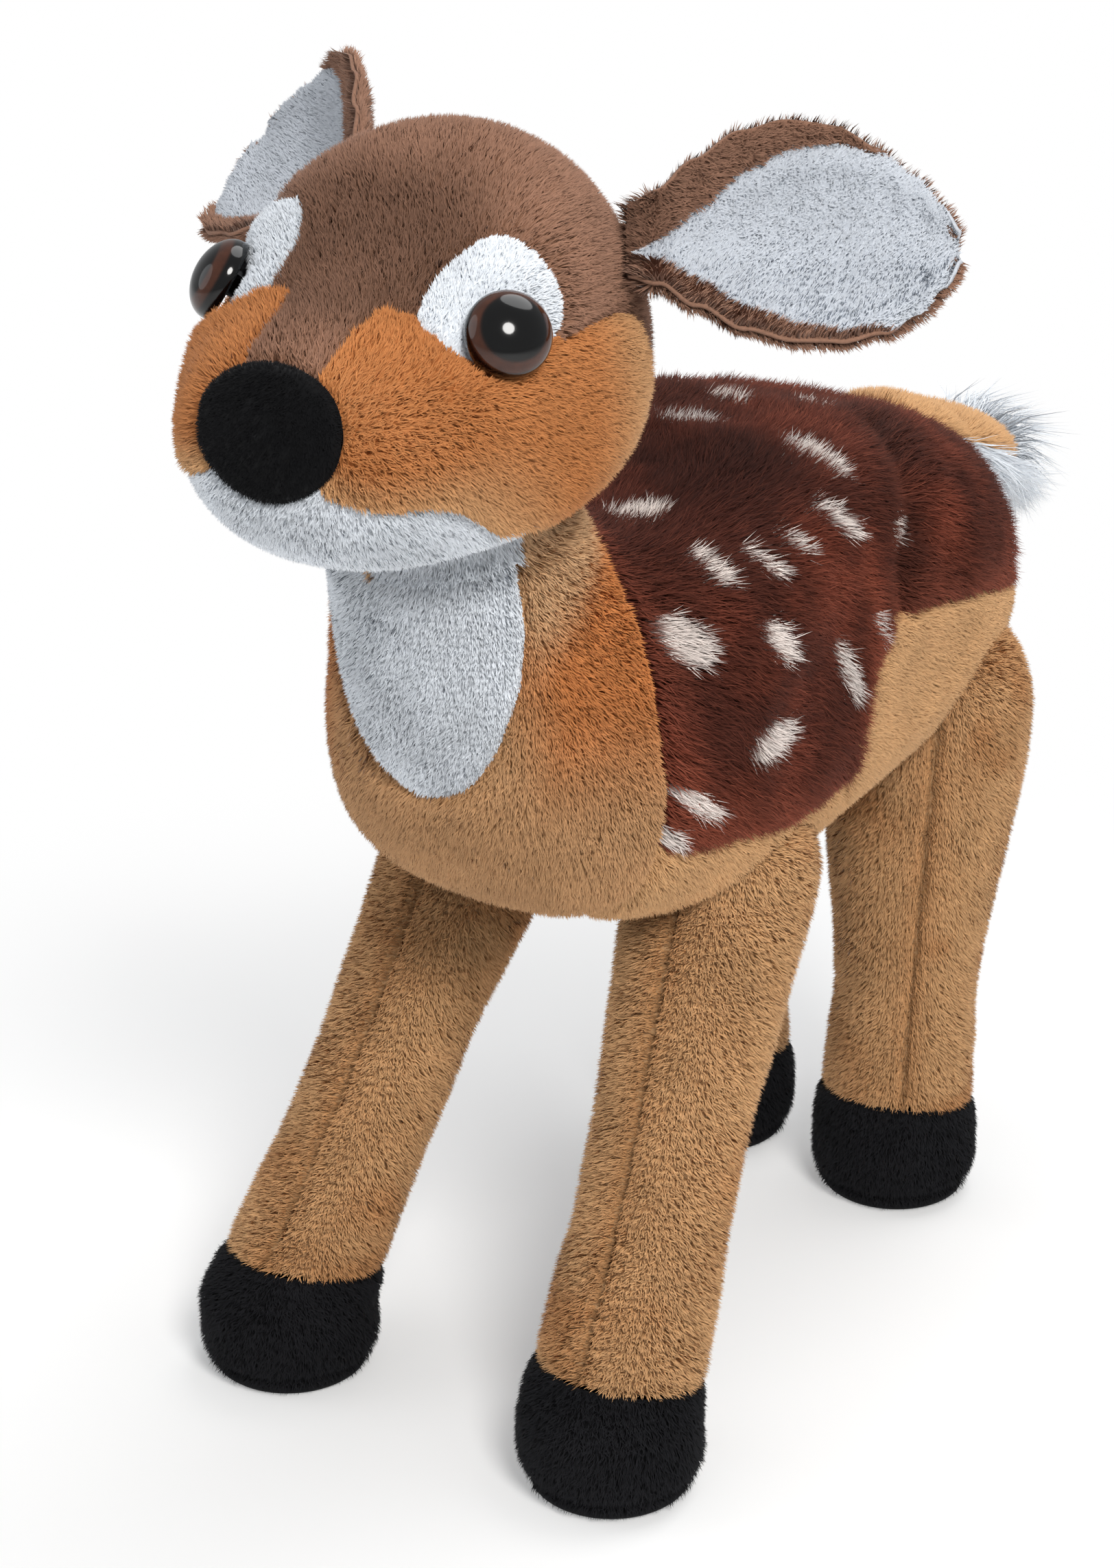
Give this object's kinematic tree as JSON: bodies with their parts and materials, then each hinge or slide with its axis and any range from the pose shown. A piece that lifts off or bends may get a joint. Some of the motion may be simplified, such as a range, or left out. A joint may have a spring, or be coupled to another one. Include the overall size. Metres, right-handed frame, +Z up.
{
  "type": "plush fawn",
  "caption": "Standing stuffed fawn of sewn pile fabric, with a spotted back, swinging legs, turning head, soft ears and a short tail.",
  "frame": {"origin": "middle of the fawn's box on the floor it stands on", "axes": "+Z up, -Y the way the face looks, +X towards the fawn's left side"},
  "size_m": [0.1834, 0.2996, 0.3003],
  "materials": {
    "stuffing": "loose polyester fibre",
    "cover": "dark red-brown pile with pink-brown tips and cream spots",
    "tan": "short tan pile",
    "cheek": "short orange-tan pile",
    "crown": "short taupe-brown pile",
    "white": "soft white pile",
    "black": "short black pile",
    "eye": "polished dark brown dome",
    "washer": "moulded"
  },
  "bodies": {
    "torso": {"torso_stuffing": "stuffing", "back_cover_left": "cover", "back_cover_right": "cover", "haunch_left": "tan", "haunch_right": "tan", "belly_panel": "white", "chest_panel": "tan", "bib_panel": "white"},
    "neck": {"neck_stuffing": "stuffing"},
    "head": {"head_stuffing": "stuffing", "crown_panel": "crown", "chin_panel": "white", "cheek_left": "cheek", "cheek_right": "cheek", "eye_patch_left": "white", "eye_patch_right": "white", "eye_left": "eye", "eye_right": "eye", "eye_washer_left": "washer", "eye_washer_right": "washer", "nose_pad": "black"},
    "ear_left": {"ear_back_left": "crown", "ear_lining_left": "white"},
    "ear_right": {"ear_back_right": "crown", "ear_lining_right": "white"},
    "leg_front_left": {"leg_front_left_stuffing": "stuffing", "leg_front_left_sleeve": "tan", "hoof_front_left": "black", "sole_front_left": "black"},
    "leg_front_right": {"leg_front_right_stuffing": "stuffing", "leg_front_right_sleeve": "tan", "hoof_front_right": "black", "sole_front_right": "black"},
    "leg_rear_left": {"leg_rear_left_stuffing": "stuffing", "leg_rear_left_sleeve": "tan", "hoof_rear_left": "black", "sole_rear_left": "black"},
    "leg_rear_right": {"leg_rear_right_stuffing": "stuffing", "leg_rear_right_sleeve": "tan", "hoof_rear_right": "black", "sole_rear_right": "black"},
    "tail": {"tail_top": "tan", "tail_underside": "white"}
  },
  "joints": [
    {"name": "head_turn", "type": "hinge", "parent": "torso", "child": "neck", "pos_m": [0, -0.08531, 0.219], "axis": [0, -0.2079, 0.9781], "range_deg": [-20, 20], "stiffness_Nm_per_rad": 0.4},
    {"name": "head_nod", "type": "hinge", "parent": "neck", "child": "head", "pos_m": [0, -0.08531, 0.219], "axis": [1, 0, 0], "range_deg": [-7, 7], "stiffness_Nm_per_rad": 1.2},
    {"name": "ear_left_flap", "type": "hinge", "parent": "head", "child": "ear_left", "pos_m": [0.0344, -0.06977, 0.27502], "axis": [-0.3828, 0.549, 0.743], "range_deg": [-18, 18], "stiffness_Nm_per_rad": 0.02},
    {"name": "ear_right_flap", "type": "hinge", "parent": "head", "child": "ear_right", "pos_m": [-0.0344, -0.06977, 0.27502], "axis": [0.3828, 0.549, 0.743], "range_deg": [-18, 18], "stiffness_Nm_per_rad": 0.02},
    {"name": "leg_front_left_swing", "type": "hinge", "parent": "torso", "child": "leg_front_left", "pos_m": [0.0325, -0.02431, 0.123], "axis": [1, 0, 0], "range_deg": [-14, 14], "stiffness_Nm_per_rad": 1.2},
    {"name": "leg_front_right_swing", "type": "hinge", "parent": "torso", "child": "leg_front_right", "pos_m": [-0.0325, -0.02431, 0.123], "axis": [1, 0, 0], "range_deg": [-14, 14], "stiffness_Nm_per_rad": 1.2},
    {"name": "leg_rear_left_swing", "type": "hinge", "parent": "torso", "child": "leg_rear_left", "pos_m": [0.03, 0.07219, 0.133], "axis": [1, 0, 0], "range_deg": [-14, 14], "stiffness_Nm_per_rad": 1.2},
    {"name": "leg_rear_right_swing", "type": "hinge", "parent": "torso", "child": "leg_rear_right", "pos_m": [-0.03, 0.07219, 0.133], "axis": [1, 0, 0], "range_deg": [-14, 14], "stiffness_Nm_per_rad": 1.2},
    {"name": "tail_lift", "type": "hinge", "parent": "torso", "child": "tail", "pos_m": [0, 0.08519, 0.196], "axis": [1, 0, 0], "range_deg": [-6, 35], "stiffness_Nm_per_rad": 0.03}
  ]
}
